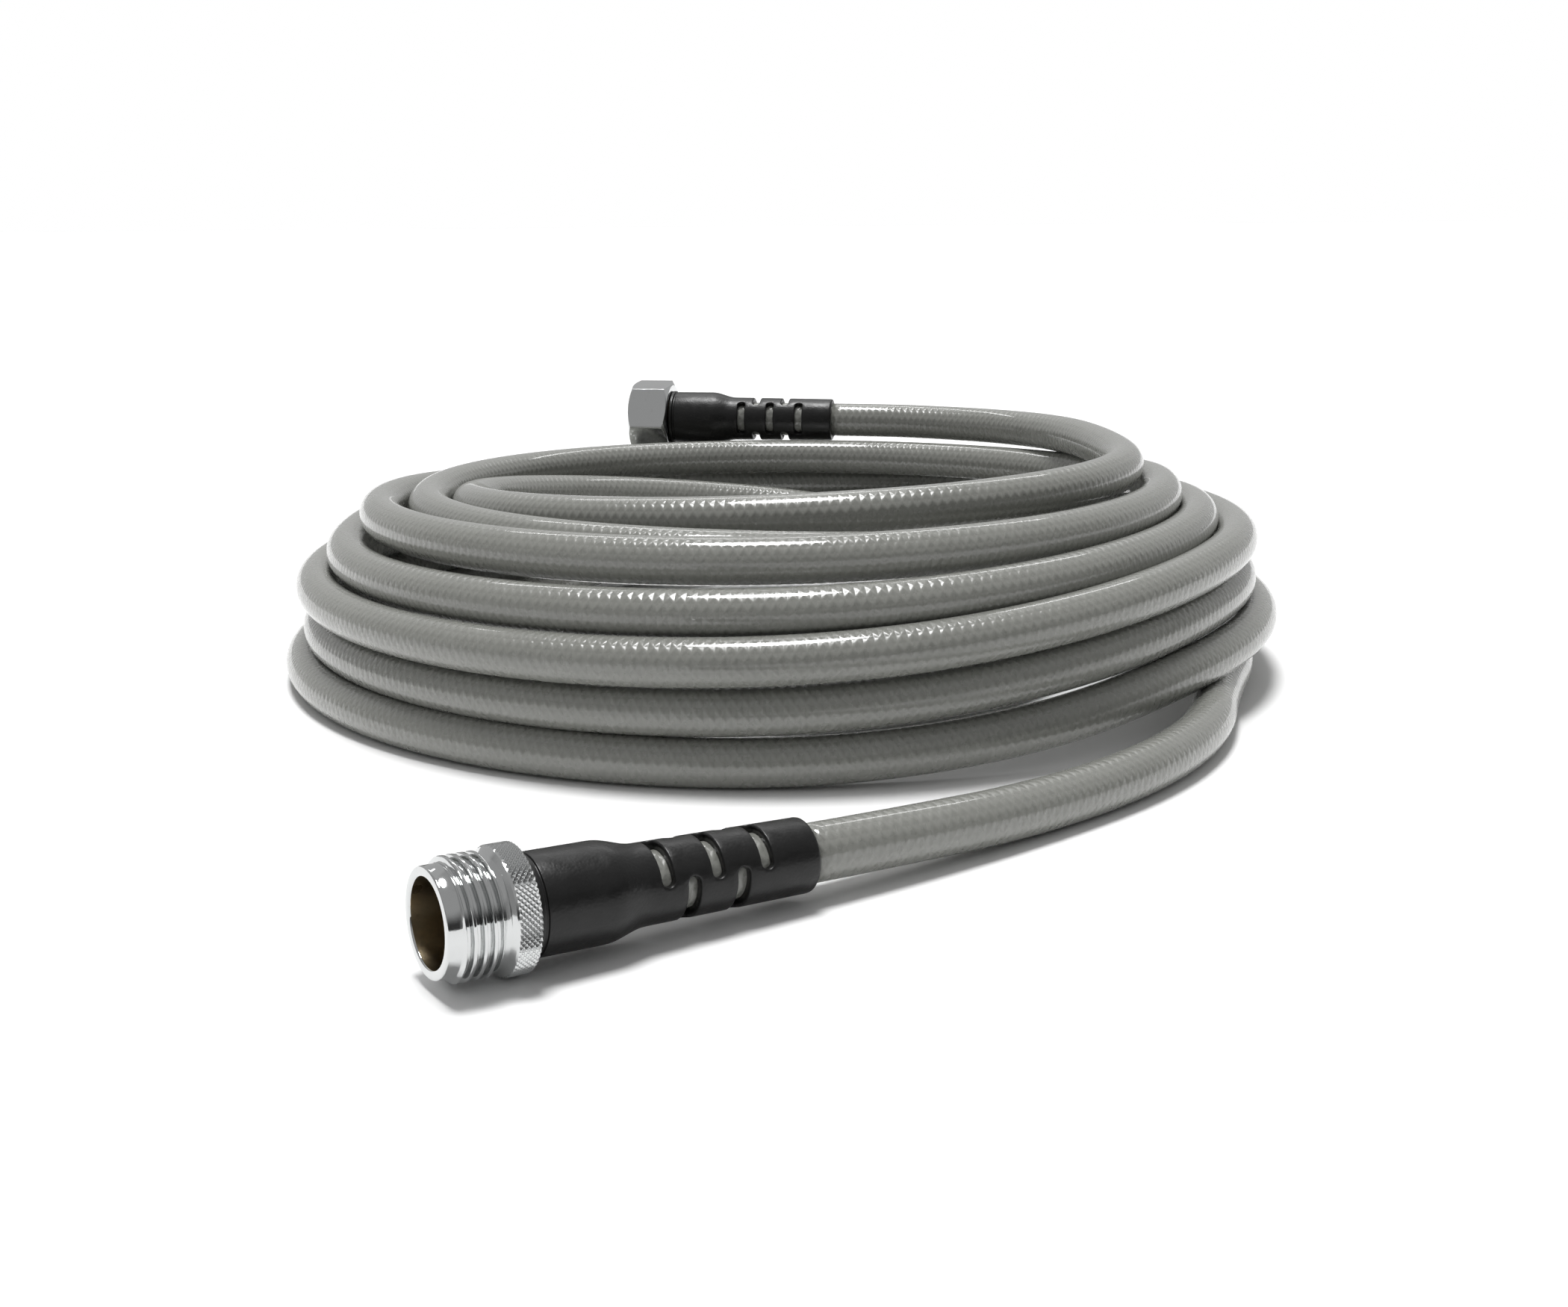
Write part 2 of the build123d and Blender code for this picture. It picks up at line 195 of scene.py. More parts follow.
def ring_mesh(name, rings, matrix, knurled=()):
    """A closed mesh through a loop of rings, each a list of (x, y, z) in millimetres.

    knurled holds the numbers of the rings where a knurl's lattice goes on to the next one.
    """
    count, around = len(rings), len(rings[0])
    points = np.array(rings, float).reshape(-1, 3)
    faces = []
    flat = set()
    for i in range(count):
        here, there = i * around, (i + 1) % count * around
        for j in range(around):
            k = (j + 1) % around
            a, b, c, d = here + j, here + k, there + k, there + j
            if i not in knurled:
                faces.append((a, b, c, d))
                continue
            flat.update((len(faces), len(faces) + 1))
            if (i + j) % 2:
                faces += [(a, b, c), (a, c, d)]
            else:
                faces += [(b, c, d), (b, d, a)]
    mesh = bpy.data.meshes.new(name)
    mesh.from_pydata([matrix @ Vector(p) for p in points], [], faces)
    smooth(mesh)
    for face in flat:
        mesh.polygons[face].use_smooth = False
    face_outwards(mesh)
    return mesh


def face_outwards(mesh):
    """Turns a closed mesh's faces so that their normals point out of it."""
    shell = bmesh.new()
    shell.from_mesh(mesh)
    bmesh.ops.recalc_face_normals(shell, faces=shell.faces)
    shell.to_mesh(mesh)
    shell.free()


def rounded(outline, size):
    """Small arcs in place of an outline's corners of (radius, distance), but not at its ends."""
    made = []
    for before, here, after in zip(outline, outline[1:], outline[2:]):
        first = Vector(before) - Vector(here)
        second = Vector(after) - Vector(here)
        reach = min(size, first.length * 0.45, second.length * 0.45)
        start = Vector(here) + first.normalized() * reach
        end = Vector(here) + second.normalized() * reach
        for step in (0.0, 0.33, 0.67, 1.0):
            near = start.lerp(Vector(here), step)
            far = Vector(here).lerp(end, step)
            made.append(tuple(near.lerp(far, step)))
    return made


def circle(radius, distance, angles):
    return [(radius * cos(a), radius * sin(a), distance) for a in angles]


def tube_mesh(name, path, radius, inner=None):
    """A tube along a path in metres: solid, or open if it has an inner radius.

    Its UVs hold metres along and the share of a turn.
    """
    line = np.array(path, float)
    steps = np.linalg.norm(np.diff(line, axis=0), axis=1)
    along = np.concatenate([[0.0], np.cumsum(steps)])
    ways = np.gradient(line, axis=0)
    ways /= np.linalg.norm(ways, axis=1)[:, None]
    normal = np.cross(ways[0], (0.0, 0.0, 1.0))
    turns = np.linspace(0, 2 * pi, HOSE_SIDES, endpoint=False)
    spokes = []
    for way in ways:
        normal = normal - way * (normal @ way)
        normal /= np.linalg.norm(normal)
        other = np.cross(way, normal)
        spokes.append(np.outer(np.cos(turns), normal) + np.outer(np.sin(turns), other))
    rings = [place + spoke * radius for place, spoke in zip(line, spokes)]
    if inner is None:
        # A ring shrunk to nothing closes each end
        rings = [rings[0] * 0 + line[0], *rings, rings[-1] * 0 + line[-1]]
        along = np.concatenate([along[:1], along, along[-1:]])
    else:
        rings += [place + spoke * inner for place, spoke in zip(line[::-1], spokes[::-1])]
        rings.append(rings[0])
        along = np.concatenate([along, along[::-1], along[:1]])
    shell = bmesh.new()
    layer = shell.loops.layers.uv.new("along_around")
    verts = [[shell.verts.new(point) for point in ring] for ring in rings]
    for i in range(len(rings) - 1):
        for j in range(HOSE_SIDES):
            k = (j + 1) % HOSE_SIDES
            face = shell.faces.new((verts[i][j], verts[i + 1][j], verts[i + 1][k], verts[i][k]))
            corners = ((i, j), (i + 1, j), (i + 1, j + 1), (i, j + 1))
            for loop, (u, v) in zip(face.loops, corners):
                loop[layer].uv = (along[u], v / HOSE_SIDES)
    bmesh.ops.remove_doubles(shell, verts=shell.verts, dist=1e-7)
    bmesh.ops.recalc_face_normals(shell, faces=shell.faces)
    mesh = bpy.data.meshes.new(name)
    shell.to_mesh(mesh)
    shell.free()
    smooth(mesh)
    return mesh


# ---------------------------------------------------------------- materials


class Shader:
    """A material's node tree, with short ways to add the nodes that this script uses."""

    def __init__(self, name, **values):
        self.material = bpy.data.materials.new(name)
        self.material.use_nodes = True
        self.tree = self.material.node_tree
        self.surface = self.tree.nodes["Principled BSDF"]
        for socket, value in values.items():
            self.surface.inputs[socket.replace("_", " ")].default_value = value

    def add(self, kind, inputs=(), **settings):
        made = self.tree.nodes.new(kind)
        for key, value in settings.items():
            setattr(made, key, value)
        for key, value in dict(inputs).items():
            if isinstance(value, bpy.types.NodeSocket):
                self.tree.links.new(value, made.inputs[key])
            else:
                made.inputs[key].default_value = value
        return made

    def math(self, operation, *values):
        return self.add("ShaderNodeMath", enumerate(values), operation=operation).outputs[0]

    def noise(self, scale, detail=3.0, roughness=0.55, vector=None):
        inputs = {"Scale": scale, "Detail": detail, "Roughness": roughness}
        inputs["Vector"] = vector or self.place()
        return self.add("ShaderNodeTexNoise", inputs).outputs["Fac"]

    def place(self):
        return self.add("ShaderNodeTexCoord").outputs["Object"]

    def spread(self, value, low, high, to_low=0.0, to_high=1.0):
        inputs = {
            "Value": value,
            "From Min": low,
            "From Max": high,
            "To Min": to_low,
            "To Max": to_high,
        }
        return self.add("ShaderNodeMapRange", inputs).outputs["Result"]

    def mix(self, share, first, second):
        made = self.add("ShaderNodeMix", data_type="RGBA")
        for socket, value in zip((0, 6, 7), (share, first, second)):
            if isinstance(value, bpy.types.NodeSocket):
                self.tree.links.new(value, made.inputs[socket])
            else:
                made.inputs[socket].default_value = value
        return made.outputs[2]

    def link(self, socket, value):
        self.tree.links.new(value, self.surface.inputs[socket])

    def bump(self, height, distance, strength=1.0, under=None):
        inputs = {"Height": height, "Distance": distance, "Strength": strength}
        if under is not None:
            inputs["Normal"] = under
        return self.add("ShaderNodeBump", inputs).outputs["Normal"]


def grey(value, warmth=0.0):
    return (value * (1 + warmth), value, value * (1 - warmth), 1.0)


def hose_material():
    """Glossy grey PVC that shows the braid under it as shallow crossed ribs, with painted shade in
    the hollows between them.
    """
    shader = Shader("hose_pvc", Roughness=0.3, IOR=1.5, Coat_Weight=0.7)
    shader.surface.inputs["Coat Roughness"].default_value = 0.05
    spot = shader.add("ShaderNodeUVMap", uv_map="along_around").outputs["UV"]
    split = shader.add("ShaderNodeSeparateXYZ", {"Vector": spot})
    along = shader.math("MULTIPLY", split.outputs["X"], 1 / (BRAID_PITCH * MM))
    around = shader.math("MULTIPLY", split.outputs["Y"], float(BRAID_STARTS))
    ribs = []
    for operation in ("ADD", "SUBTRACT"):
        phase = shader.math(operation, along, around)
        wave = shader.math("SINE", shader.math("MULTIPLY", phase, 2 * pi))
        ribs.append(shader.spread(wave, -1.0, 1.0))
    woven = shader.math("SMOOTH_MAX", ribs[0], ribs[1], 0.35)
    uneven = shader.noise(90.0, 2.0)
    height = shader.math("MULTIPLY", woven, shader.spread(uneven, 0.3, 0.7, 0.75, 1.1))
    relief = shader.bump(height, 0.00022, 0.9)
    waves = shader.bump(shader.noise(130.0, 2.0), 0.0006, 0.35, relief)
    grain = shader.bump(shader.noise(2600.0, 2.0), 0.00002, 0.25, waves)
    shader.link("Normal", grain)
    tone = shader.mix(shader.noise(14.0), (0.198, 0.201, 0.184, 1.0), (0.224, 0.227, 0.208, 1.0))
    # Painted shade: the colour is lighter on the ribs' crests and darker in the hollows between
    # them
    depth = shader.spread(woven, 0.0, 1.0, 0.0, 0.3)
    tone = shader.mix(depth, tone, (0.258, 0.261, 0.24, 1.0))
    dust = shader.spread(shader.noise(55.0, 6.0, 0.7), 0.58, 0.78, 0.0, 0.12)
    shader.link("Base Color", shader.mix(dust, tone, grey(0.32, 0.03)))
    shader.link("Roughness", shader.spread(shader.noise(220.0), 0.3, 0.7, 0.22, 0.34))
    return shader.material


def chrome_material():
    """Bright chrome plate with faint haze, small stains, fine pits and a soft waviness."""
    shader = Shader("chrome", Metallic=1.0, Roughness=0.1)
    haze = shader.noise(160.0, 5.0, 0.6)
    shader.link("Roughness", shader.spread(haze, 0.35, 0.75, 0.05, 0.13))
    stain = shader.spread(shader.noise(420.0, 4.0, 0.7), 0.6, 0.8, 0.0, 0.3)
    shader.link("Base Color", shader.mix(stain, (0.61, 0.62, 0.62, 1.0), grey(0.42, 0.03)))
    pits = shader.bump(shader.noise(1500.0, 3.0), 0.00002, 0.25)
    shader.link("Normal", shader.bump(shader.noise(180.0, 2.0), 0.00005, 0.15, pits))
    return shader.material


def brass_material():
    """Machined brass, duller and browner in patches."""
    shader = Shader("brass", Metallic=1.0, Roughness=0.3)
    patch = shader.noise(110.0, 5.0, 0.65)
    shader.link(
        "Base Color",
        shader.mix(patch, (0.36, 0.29, 0.19, 1.0), (0.17, 0.14, 0.09, 1.0)),
    )
    shader.link("Roughness", shader.spread(patch, 0.3, 0.7, 0.22, 0.45))
    shader.link("Normal", shader.bump(shader.noise(900.0), 0.00005, 0.5))
    return shader.material


def sleeve_material():
    """Black satin vinyl with a fine moulded grain."""
    shader = Shader("black_vinyl", Roughness=0.4, IOR=1.42)
    cells = shader.add(
        "ShaderNodeTexVoronoi",
        {"Vector": shader.place(), "Scale": 1500.0},
        feature="SMOOTH_F1",
    ).outputs["Distance"]
    grain = shader.bump(cells, 0.0001, 0.4)
    shader.link("Normal", shader.bump(shader.noise(150.0, 3.0), 0.0003, 0.25, grain))
    rubbed = shader.spread(shader.noise(75.0, 6.0, 0.7), 0.55, 0.8, 0.0, 0.45)
    shader.link("Base Color", shader.mix(rubbed, grey(0.006, 0.0), grey(0.018, 0.02)))
    shader.link("Roughness", shader.spread(shader.noise(320.0, 4.0), 0.3, 0.7, 0.3, 0.44))
    return shader.material


def plain_material(name, colour, other, scale, roughness, metallic=0.0):
    """A dull finish for what shows only through openings: two tones and a fine bump."""
    shader = Shader(name, Roughness=roughness, Metallic=metallic)
    patch = shader.noise(scale, 4.0)
    shader.link("Base Color", shader.mix(patch, colour, other))
    shader.link("Normal", shader.bump(shader.noise(scale * 6), 0.00006, 0.4))
    return shader.material


HOSE_FINISH = hose_material()
CHROME = chrome_material()
BRASS = brass_material()
BLACK_VINYL = sleeve_material()
RUBBER = plain_material("washer_rubber", grey(0.018), grey(0.03), 400.0, 0.6)
STEEL = plain_material("ferrule_steel", grey(0.55), grey(0.4), 300.0, 0.35, 1.0)
LINER = plain_material("liner_pvc", grey(0.6), grey(0.52), 200.0, 0.4)
YARN = plain_material("yarn", grey(0.75), grey(0.55), 1200.0, 0.8)


# ---------------------------------------------------------------- hose

# The hose's free stretches, from the male mouth to the coil and from the coil to the
# female mouth, then the coil's turns. A turn starts on the right and goes anticlockwise.
FRONT_ROUTE = [
    (68.0, -142.6, 7.15),
    (104.5, -108.6, 7.15),
    (128.8, -71.0, 7.15),
    (141.0, -29.0, 7.15),
]
BACK_ROUTE = [
    (120.8, 117.2, 71.0),
    (110.9, 147.6, 70.4),
    (94.6, 172.8, 69.7),
    (73.8, 191.5, 69.2),
]
COIL_CENTRE = (0.0, 62.0)
POINTS_PER_TURN = 24
FIRST_ANGLE = -15.0
# What the coil passes: degrees round from the right side, radius and height
COIL_STATIONS = [
    # The first turn lies on the floor, under the second on the right and at the back
    (-33, 167.8, 7.15), (0, 160, 7.15), (90, 165, 7.15), (143, 171.8, 7.15),
    (180, 170, 7.2), (270, 164, 7.2),
    # Up over the front tail, then round on the first turn
    (300, 165.5, 13.0), (315, 167, 18.5), (327, 169, 21.5), (360, 171.3, 21.7),
    (450, 176.6, 20.3), (503, 167.2, 20.9), (540, 162.7, 19.7), (630, 162.9, 22.1),
    # Third turn
    (660, 162.6, 28.2), (687, 162.3, 34.3), (720, 163.1, 33.8), (810, 163, 30.2),
    (863, 163.3, 34.5), (900, 163.5, 34.6), (990, 165.9, 37.1),
    # Fourth, which the nut rests by
    (1047, 163.5, 48.7), (1080, 162, 48.2), (1170, 163, 44.1), (1223, 157, 47.3),
    (1260, 152.8, 45.3), (1350, 156.6, 48.8),
    # Fifth, lower at the back
    (1407, 150, 54.4), (1440, 148.8, 54.2), (1473, 147.6, 48.6), (1530, 147, 42.4),
    (1583, 142.5, 51), (1620, 141, 56.9), (1710, 142.9, 61.1),
    # Sixth, on the coil's top
    (1767, 137.4, 62.2), (1800, 136.4, 62.0), (1833, 135.4, 56.3), (1890, 135.5, 54.5),
    (1980, 124.9, 58.6), (2070, 125.5, 59.5),
    # Seventh, fallen inside the others
    (2160, 123.5, 47), (2250, 133, 21), (2340, 106, 7.2), (2430, 104, 7.2),
    # Eighth, up again to where the female end lies
    (2520, 106, 16), (2610, 116, 36.4), (2700, 110.0, 57.2), (2790, 106.4, 67.5),
    (2880, 124, 71.2),
]


def coil_place(angle):
    """Radius and height at an angle, on a smooth curve through the stations."""
    stations = np.array(COIL_STATIONS, float)
    last = len(stations) - 1
    i = int(np.searchsorted(stations[:, 0], angle, side="right")) - 1
    i = min(max(i, 0), last - 1)
    span = stations[i + 1, 0] - stations[i, 0]
    t = (angle - stations[i, 0]) / span

    def slope(j):
        if j in (0, last):
            return np.zeros(2)
        before, after = stations[j - 1], stations[j + 1]
        return (after - before)[1:] / (after[0] - before[0]) * span

    start = (2 * t**3 - 3 * t**2 + 1) * stations[i, 1:] + (t**3 - 2 * t**2 + t) * slope(i)
    end = (3 * t**2 - 2 * t**3) * stations[i + 1, 1:] + (t**3 - t**2) * slope(i + 1)
    radius, height = start + end
    return radius, max(height, HOSE_RADIUS)


def coil_turns():
    """The coil's control points. They stand out a little, because the spline cuts inside them."""
    step = 360 / POINTS_PER_TURN
    outside = 1 / cos(pi / POINTS_PER_TURN)
    points = []
    for i in range(int((COIL_STATIONS[-1][0] - FIRST_ANGLE) / step) + 1):
        angle = FIRST_ANGLE + i * step
        radius, height = coil_place(angle)
        x = COIL_CENTRE[0] + radius * outside * cos(radians(angle))
        y = COIL_CENTRE[1] + radius * outside * sin(radians(angle))
        points.append((x, y, height))
    return points


def hose_path():
    """The points that the hose follows, in metres, read from its NURBS spline."""
    corners = [
        MALE_MOUTH,
        MALE_MOUTH + MALE_WAY * FIRST_RUN,
        *FRONT_ROUTE,
        *coil_turns(),
        *BACK_ROUTE,
        FEMALE_MOUTH + FEMALE_WAY * FIRST_RUN,
        FEMALE_MOUTH,
    ]
    curve = bpy.data.curves.new("hose_line", "CURVE")
    curve.dimensions = "3D"
    spline = curve.splines.new("NURBS")
    spline.points.add(len(corners) - 1)
    for point, corner in zip(spline.points, corners):
        point.co = (*(Vector(corner) * MM), 1.0)
    spline.order_u = 3
    spline.use_endpoint_u = True
    spline.resolution_u = 12
    holder = bpy.data.objects.new("hose_line", curve)
    bare = bpy.data.meshes.new_from_object(holder)
    path = [vertex.co.copy() for vertex in bare.vertices]
    bpy.data.meshes.remove(bare)
    bpy.data.objects.remove(holder)
    bpy.data.curves.remove(curve)
    return path


def make_hose():
    path = hose_path()
    mesh = tube_mesh("hose", path, HOSE_RADIUS * MM)
    hose = finished("hose", mesh, "hose", [HOSE_FINISH])
    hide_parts("hose_coil", "hose_tail_front", "hose_tail_back")
    return hose, path


def make_hose_end(name, matrix, start, mouth, replaced):
    """The hose's cover inside a fitting, which shows through the strain relief's slots."""
    count = int(ceil((mouth - start) / 2.0)) + 1
    line = [matrix @ Vector((0, 0, z)) for z in np.linspace(start, mouth, count)]
    mesh = tube_mesh(name, line, HOSE_RADIUS * MM, COVER_INNER_RADIUS * MM)
    piece = finished(name, mesh, "hose", [HOSE_FINISH])
    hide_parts(replaced)


# ---------------------------------------------------------------- metal ends


def ridge(phase):
    """Height of a thread's ridge, from 0 to 1, over one pitch."""
    away = abs(phase % 1.0 - 0.5)
    share = min(max((0.36 - away) / 0.24, 0.0), 1.0)
    return share * share * (3 - 2 * share)


def threaded(start, end, root, crest, angles, step=0.12):
    """Rings of a right-hand thread from start to end, with its ends run out."""
    rings = []
    depth = crest - root
    for distance in np.linspace(start, end, int((end - start) / step) + 1):
        run_out = min(distance - start, end - distance) * 1.6
        ring = []
        for a in angles:
            height = ridge(distance / THREAD_PITCH - a / (2 * pi))
            height = min(height, run_out / abs(depth))
            radius = root + depth * height
            ring.append((radius * cos(a), radius * sin(a), distance))
        rings.append(ring)
    return rings


def make_male_coupling():
    angles = np.linspace(0, 2 * pi, ROUND, endpoint=False)
    lip = rounded(
        [
            (WATERWAY_RADIUS, PILOT_LENGTH),
            (WATERWAY_RADIUS, 0),
            (MALE_MINOR_RADIUS, 0),
            (MALE_MINOR_RADIUS, PILOT_LENGTH),
        ],
        LIP_ROUNDING,
    )
    neck = rounded(
        [
            (MALE_MINOR_RADIUS, THREAD_END),
            (NECK_RADIUS - 0.5, THREAD_END + 0.1),
            (NECK_RADIUS, SHOULDER_START),
            (COLLAR_RADIUS - 0.35, COLLAR_START - 0.35),
            (COLLAR_RADIUS - KNURL_DEPTH, COLLAR_START),
        ],
        NECK_ROUNDING,
    )
    rows = np.linspace(COLLAR_START + 0.05, COLLAR_END - 0.35, KNURL_ROWS)
    back = rounded(
        [
            (COLLAR_RADIUS - KNURL_DEPTH, COLLAR_END - 0.3),
            (COLLAR_RADIUS - 0.6, COLLAR_END),
            (BOSS_RADIUS, COLLAR_END),
            (BOSS_RADIUS, COLLAR_END + BOSS_LENGTH),
            (SHANK_RADIUS, COLLAR_END + BOSS_LENGTH),
            (SHANK_RADIUS - 0.3, COLLAR_END + BOSS_LENGTH + SHANK_LENGTH),
            (SHANK_BORE_RADIUS, COLLAR_END + BOSS_LENGTH + SHANK_LENGTH),
            (SHANK_BORE_RADIUS, WATERWAY_DEPTH + 3),
            (WATERWAY_RADIUS, WATERWAY_DEPTH),
            (WATERWAY_RADIUS, PILOT_LENGTH),
        ],
        BACK_ROUNDING,
    )
    rings = [circle(r, z, angles) for r, z in lip]
    rings += threaded(PILOT_LENGTH, THREAD_END, MALE_MINOR_RADIUS, MALE_MAJOR_RADIUS, angles)
    rings += [circle(r, z, angles) for r, z in neck]
    first_row = len(rings)
    for row, distance in enumerate(rows):
        ring = []
        for j, a in enumerate(angles):
            peak = (first_row + row + j) % 2
            radius = COLLAR_RADIUS - KNURL_DEPTH * (1 - peak)
            ring.append((radius * cos(a), radius * sin(a), distance))
        rings.append(ring)
    rings += [circle(r, z, angles) for r, z in back]
    knurled = range(first_row, first_row + KNURL_ROWS - 1)
    mesh = ring_mesh("male_fitting", rings, MALE_MATRIX, knurled)
    inverse = MALE_MATRIX.inverted()
    for face in mesh.polygons:
        centre = inverse @ face.center
        inside = hypot(centre.x, centre.y) < WATERWAY_RADIUS + 0.05
        face.material_index = int(inside and centre.z > 0.4)
    piece = finished("male_fitting", mesh, "hose", [CHROME, BRASS])
    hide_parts("male_coupling")
    return piece


def hex_radius(angle):
    """Radius of the nut's outline, a hexagon with rounded corners."""
    apothem = NUT_FLATS / 2
    off = abs((angle + pi / 6) % (pi / 3) - pi / 6)
    inner = apothem - NUT_CORNER_ROUNDING
    if off <= atan2(inner * tan(pi / 6), apothem):
        return apothem / cos(off)
    corner = inner / cos(pi / 6)
    past = pi / 6 - off
    return corner * cos(past) + sqrt(NUT_CORNER_ROUNDING**2 - (corner * sin(past)) ** 2)


def hex_angles():
    """Angles round the nut, closer together at its corners."""
    shares = [0, 0.2, 0.4, 0.6, 0.75, 0.85, 0.9, 0.925, 0.95, 0.97, 0.985]
    shares = [-s for s in reversed(shares[1:])] + shares + [1.0]
    angles = []
    for side in range(6):
        angles += [radians(60 * side + 30 * share) for share in shares]
    return angles


def make_nut():
    angles = hex_angles()
    corner = max(hex_radius(a) for a in angles)
    face_radius = corner - NUT_CHAMFER * 1.7
    slope = (corner - face_radius) / NUT_CHAMFER

    def chamfer(a, share):
        """Distance from the face, and radius. The share is 1 where the flat starts."""
        radius = face_radius + (hex_radius(a) - face_radius) * share
        return (radius - face_radius) / slope, radius

    def ring_at(share, mirrored):
        ring = []
        for a in angles:
            distance, radius = chamfer(a, share)
            if mirrored:
                distance = NUT_LENGTH - distance
            ring.append((radius * cos(a), radius * sin(a), distance))
        return ring

    def flat_ring(past, mirrored):
        ring = []
        for a in angles:
            distance, radius = chamfer(a, 1.0)
            distance += past
            if mirrored:
                distance = NUT_LENGTH - distance
            ring.append((radius * cos(a), radius * sin(a), distance))
        return ring

    front = rounded(
        [
            (FEMALE_MINOR_RADIUS, NUT_MOUTH_DEPTH),
            (FEMALE_MAJOR_RADIUS, 0),
            (face_radius, 0),
        ],
        NUT_FACE_ROUNDING,
    )
    rings = [circle(r, z, angles) for r, z in front]
    rings += [circle(face_radius - 0.12, 0, angles)]
    rings += [ring_at(share, False) for share in (0.06, 0.5, 0.9, 0.97)]
    rings += [flat_ring(past, False) for past in (0.02, 0.1, 0.4)]
    for distance in np.linspace(2.5, NUT_LENGTH - 2.5, 5):
        rings.append(
            [(hex_radius(a) * cos(a), hex_radius(a) * sin(a), distance) for a in angles]
        )
    rings += [flat_ring(past, True) for past in (0.4, 0.1, 0.02)]
    rings += [ring_at(share, True) for share in (0.97, 0.9, 0.5, 0.06)]
    rings += [circle(face_radius - 0.12, NUT_LENGTH, angles)]
    inside = rounded(
        [
            (face_radius - 1, NUT_LENGTH),
            (NUT_HOLE_RADIUS, NUT_LENGTH),
            (NUT_HOLE_RADIUS, NUT_WALL_START),
            (FEMALE_MAJOR_RADIUS, NUT_WALL_START),
            (FEMALE_MAJOR_RADIUS, NUT_THREAD_END + 0.6),
            (FEMALE_MINOR_RADIUS, NUT_THREAD_END),
        ],
        NUT_INSIDE_ROUNDING,
    )
    rings += [circle(r, z, angles) for r, z in inside]
    thread = threaded(
        NUT_MOUTH_DEPTH,
        NUT_THREAD_END,
        FEMALE_MAJOR_RADIUS,
        FEMALE_MINOR_RADIUS,
        angles,
    )
    rings += list(reversed(thread))
    turned = FEMALE_MATRIX @ Matrix.Rotation(radians(NUT_TURN - 30), 4, "Z")
    mesh = ring_mesh("nut", rings, turned)
    piece = finished("nut", mesh, "swivel_nut", [CHROME])
    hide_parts("swivel_nut")
    return piece


# ---------------------------------------------------------------- strain reliefs


def slot_loop(middle, centre, out):
    """A slot's outline in (angle in degrees, distance), grown by out."""
    radius = SLOT_WIDTH / 2 + out
    per_degree = radians(1) * RELIEF_SLIM_RADIUS
    loop = []
    for side in (1, -1):
        for step in range(11):
            a = radians(-90 + 18 * step)
            x = side * (SLOT_HALF_ARC + radius * cos(a) / per_degree)
            loop.append((centre + x, middle + side * radius * sin(a)))
        for step in (0.75, 0.5, 0.25, 0.0, -0.25, -0.5, -0.75):
            loop.append((centre + side * step * SLOT_HALF_ARC, middle + side * radius))
    return loop


def in_slot(angle, distance, middle, centre, out):
    """Whether a point is inside the slot's outline grown by out."""
    per_degree = radians(1) * RELIEF_SLIM_RADIUS
    past = max(abs(angle - centre) - SLOT_HALF_ARC, 0.0) * per_degree
    return hypot(past, distance - middle) < SLOT_WIDTH / 2 + out


def relief_radius(distance):
    """Outer radius of the slim part."""
    share = (distance - RELIEF_TAPER_END) / (RELIEF_LENGTH - RELIEF_TAPER_END)
    return RELIEF_SLIM_RADIUS + (RELIEF_TIP_RADIUS - RELIEF_SLIM_RADIUS) * share


def slotted_band(middle, turn):
    """One ring of two slots: points (angle, distance, how deep from 0 to 1) and faces."""
    column = 360 / RELIEF_COLUMNS
    seam = turn + 90
    low, high = middle - SLOT_PITCH / 2, middle + SLOT_PITCH / 2
    centres = (seam + 90, seam + 270)
    flat = []
    edges = []
    for centre in centres:
        loop = slot_loop(middle, centre, SLOT_EDGE)
        first = len(flat)
        flat += loop
        edges += [(first + i, first + (i + 1) % len(loop)) for i in range(len(loop))]
    loop_size = len(flat) // 2
    for j in range(RELIEF_COLUMNS + 1):
        angle = seam + j * column
        flat += [(angle, low), (angle, high)]
        if min(abs(angle - c) for c in centres) > SLOT_HALF_ARC + 12 or j % 2 == 0:
            for rise in (1.6, 3.2, 4.8):
                spot = (angle, low + rise)
                if not any(in_slot(*spot, middle, c, SLOT_EDGE + 0.3) for c in centres):
                    flat.append(spot)
    # The triangulation works in near-square units
    scale = radians(1) * RELIEF_SLIM_RADIUS
    made = delaunay_2d_cdt([Vector((a * scale, d)) for a, d in flat], edges, [], 0, 1e-5)
    spots = [(v.x / scale, v.y) for v in made[0]]
    faces = []
    for face in made[2]:
        angle = sum(spots[i][0] for i in face) / len(face)
        distance = sum(spots[i][1] for i in face) / len(face)
        if not any(in_slot(angle, distance, middle, c, SLOT_EDGE - 0.02) for c in centres):
            faces.append(tuple(face))
    return spots, faces, centres, loop_size


